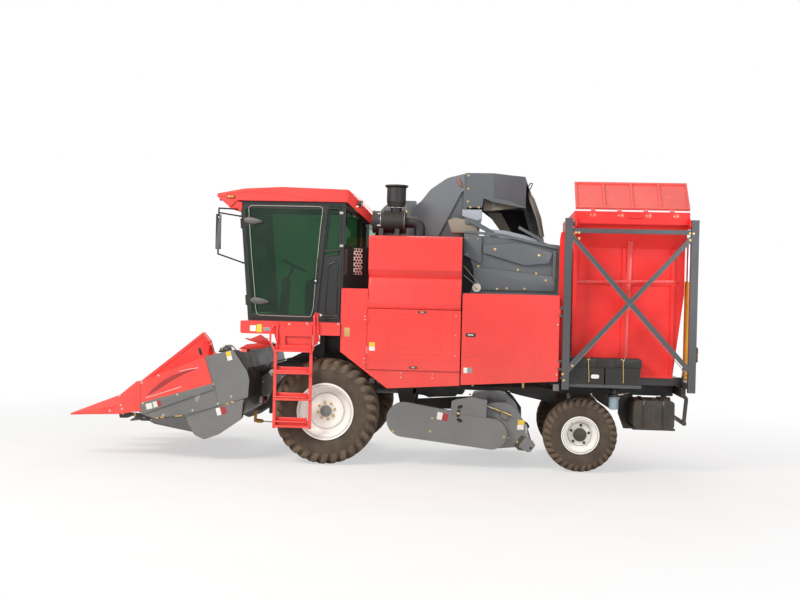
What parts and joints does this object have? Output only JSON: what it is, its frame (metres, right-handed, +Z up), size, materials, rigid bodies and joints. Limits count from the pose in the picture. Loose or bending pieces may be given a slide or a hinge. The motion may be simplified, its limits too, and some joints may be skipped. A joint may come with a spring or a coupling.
{
  "type": "corn harvester",
  "caption": "Self-propelled ear-picking corn harvester with a snouted corn head, high cab, husker, side-tipping ear bin and a stalk shredder between its axles.",
  "frame": {"origin": "on the ground under the middle of the overall box, half way along and across it", "axes": "+Z up, -Y the way the machine drives, +X its left side, where the ladder and the cab door are"},
  "size_m": [2.9954, 8.377, 4.043],
  "materials": {
    "red_paint": "gloss enamel on pressed sheet",
    "grey_paint": "satin enamel on pressed sheet",
    "dark_grey_paint": "satin enamel on welded tube",
    "black_paint": "satin chassis enamel",
    "yellow_paint": "gloss enamel",
    "white_rim_paint": "satin wheel enamel",
    "tyre_rubber": "dusty",
    "cab_glass": "green tint",
    "seat_cloth": "woven",
    "black_plastic": "moulded",
    "tank_plastic": "moulded, ribbed",
    "worn_steel": "worn bright",
    "chrome_rod": "hard chrome"
  },
  "bodies": {
    "machine": {"chassis_frame": "black_paint", "body_frame": "black_paint", "shredder_hangers": "black_paint", "front_axle": "black_paint", "rear_axle": "black_paint", "side_skirts": "red_paint", "engine_hood": "red_paint", "engine_block": "black_paint", "operator_deck": "red_paint", "access_ladder": "red_paint", "cab_frame": "black_paint", "cab_windows": "cab_glass", "cab_roof": "red_paint", "cab_seat": "seat_cloth", "operator_controls": "black_plastic", "mirrors": "black_plastic", "elevator_head": "grey_paint", "discharge_hood": "grey_paint", "husker_housing": "grey_paint", "husking_rolls": "worn_steel", "air_cleaner": "black_paint", "battery_boxes": "black_plastic", "fuel_tank": "tank_plastic", "bin_support_frame": "dark_grey_paint"},
    "front_left_wheel": {"front_left_tyre": "tyre_rubber", "front_left_rim": "white_rim_paint"},
    "front_right_wheel": {"front_right_tyre": "tyre_rubber", "front_right_rim": "white_rim_paint"},
    "rear_left_wheel": {"rear_left_tyre": "tyre_rubber", "rear_left_rim": "white_rim_paint"},
    "rear_right_wheel": {"rear_right_tyre": "tyre_rubber", "rear_right_rim": "white_rim_paint"},
    "left_steering_knuckle": {"left_knuckle": "black_paint"},
    "right_steering_knuckle": {"right_knuckle": "black_paint"},
    "corn_head": {"feeder_house": "black_paint", "head_frame": "black_paint", "outer_dividers": "red_paint", "inner_dividers": "red_paint", "head_end_shields": "grey_paint", "row_units": "worn_steel"},
    "auger": {"cross_auger": "worn_steel"},
    "head_lift_barrels": {"lift_cylinder_barrels": "yellow_paint"},
    "head_lift_rods": {"lift_cylinder_rods": "chrome_rod"},
    "cab_door": {"cab_door_frame": "black_paint", "cab_door_glass": "cab_glass"},
    "engine_door": {"left_engine_door": "red_paint"},
    "rear_door": {"left_rear_door": "red_paint"},
    "bin": {"ear_bin": "red_paint"},
    "flap": {"bin_flap": "red_paint"},
    "bin_lift_barrels": {"bin_cylinder_barrels": "yellow_paint"},
    "bin_lift_rods": {"bin_cylinder_rods": "chrome_rod"},
    "shredder": {"shredder_housing": "grey_paint", "shredder_belt_guard": "grey_paint"},
    "rotor": {"shredder_rotor": "worn_steel"},
    "roller": {"gauge_roller": "dark_grey_paint"}
  },
  "joints": [
    {"name": "front_left_wheel_spin", "type": "hinge", "parent": "machine", "child": "front_left_wheel", "pos_m": [1.085, -0.6815, 0.715], "axis": [1, 0, 0], "continuous": true},
    {"name": "front_right_wheel_spin", "type": "hinge", "parent": "machine", "child": "front_right_wheel", "pos_m": [-1.085, -0.6815, 0.715], "axis": [1, 0, 0], "continuous": true},
    {"name": "left_steer", "type": "hinge", "parent": "machine", "child": "left_steering_knuckle", "pos_m": [0.76, 2.7335, 0.495], "axis": [0, 0, 1], "range_deg": [-28, 28]},
    {"name": "right_steer", "type": "hinge", "parent": "machine", "child": "right_steering_knuckle", "pos_m": [-0.76, 2.7335, 0.495], "axis": [0, 0, 1], "range_deg": [-28, 28]},
    {"name": "rear_left_wheel_spin", "type": "hinge", "parent": "left_steering_knuckle", "child": "rear_left_wheel", "pos_m": [0.995, 2.7335, 0.495], "axis": [1, 0, 0], "continuous": true},
    {"name": "rear_right_wheel_spin", "type": "hinge", "parent": "right_steering_knuckle", "child": "rear_right_wheel", "pos_m": [-0.995, 2.7335, 0.495], "axis": [1, 0, 0], "continuous": true},
    {"name": "head_lift", "type": "hinge", "parent": "machine", "child": "corn_head", "pos_m": [0, -0.6215, 1.42], "axis": [-1, 0, 0], "range_deg": [-8, 8]},
    {"name": "auger_spin", "type": "hinge", "parent": "corn_head", "child": "auger", "pos_m": [0, -2.0115, 0.85], "axis": [1, 0, 0], "continuous": true},
    {"name": "head_barrel_swing", "type": "hinge", "parent": "corn_head", "child": "head_lift_barrels", "pos_m": [0, -1.5915, 0.6], "axis": [-1, 0, 0], "range_deg": [-2.6, 2.6]},
    {"name": "head_rod_slide", "type": "slide", "parent": "head_lift_barrels", "child": "head_lift_rods", "axis": [0, 0.9985, -0.0555], "range_m": [-0.123, 0.123]},
    {"name": "cab_door_swing", "type": "hinge", "parent": "machine", "child": "cab_door", "pos_m": [0.985, -1.90726, 2.7135], "axis": [0, 0.0881, -0.9961], "range_deg": [0, 75]},
    {"name": "engine_door_swing", "type": "hinge", "parent": "machine", "child": "engine_door", "pos_m": [1.342, -0.1355, 1.7], "axis": [0, 0, -1], "range_deg": [0, 90]},
    {"name": "rear_door_swing", "type": "hinge", "parent": "machine", "child": "rear_door", "pos_m": [1.35, 2.4145, 1.7], "axis": [0, 0, 1], "range_deg": [0, 90]},
    {"name": "bin_tip", "type": "hinge", "parent": "machine", "child": "bin", "pos_m": [1.335, 3.326, 3.3], "axis": [0, 1, 0], "range_deg": [0, 95]},
    {"name": "flap_swing", "type": "hinge", "parent": "bin", "child": "flap", "pos_m": [1.267, 3.326, 3.483], "axis": [0, 1, 0], "range_deg": [0, 120]},
    {"name": "bin_barrel_swing", "type": "hinge", "parent": "machine", "child": "bin_lift_barrels", "pos_m": [0.905, 3.326, 1.284], "axis": [0, 1, 0], "range_deg": [0, 5.4]},
    {"name": "bin_rod_slide", "type": "slide", "parent": "bin_lift_barrels", "child": "bin_lift_rods", "axis": [0, 0, 1], "range_m": [0, 0.655]},
    {"name": "shredder_lift", "type": "hinge", "parent": "machine", "child": "shredder", "pos_m": [0, 0.3685, 0.635], "axis": [1, 0, 0], "range_deg": [-8, 3.5]},
    {"name": "rotor_spin", "type": "hinge", "parent": "shredder", "child": "rotor", "pos_m": [0, 1.5085, 0.55], "axis": [1, 0, 0], "continuous": true},
    {"name": "roller_spin", "type": "hinge", "parent": "shredder", "child": "roller", "pos_m": [0, 2.0455, 0.33], "axis": [1, 0, 0], "continuous": true}
  ],
  "couplings": [
    {"joint": "right_steer", "follows": "left_steer", "ratio": 1},
    {"joint": "head_barrel_swing", "follows": "head_lift", "ratio": 0.30066},
    {"joint": "head_rod_slide", "follows": "head_lift", "m_per_rad": 0.86655},
    {"joint": "bin_barrel_swing", "follows": "bin_tip", "ratio": 0.055},
    {"joint": "bin_rod_slide", "follows": "bin_tip", "m_per_rad": 0.3933}
  ]
}
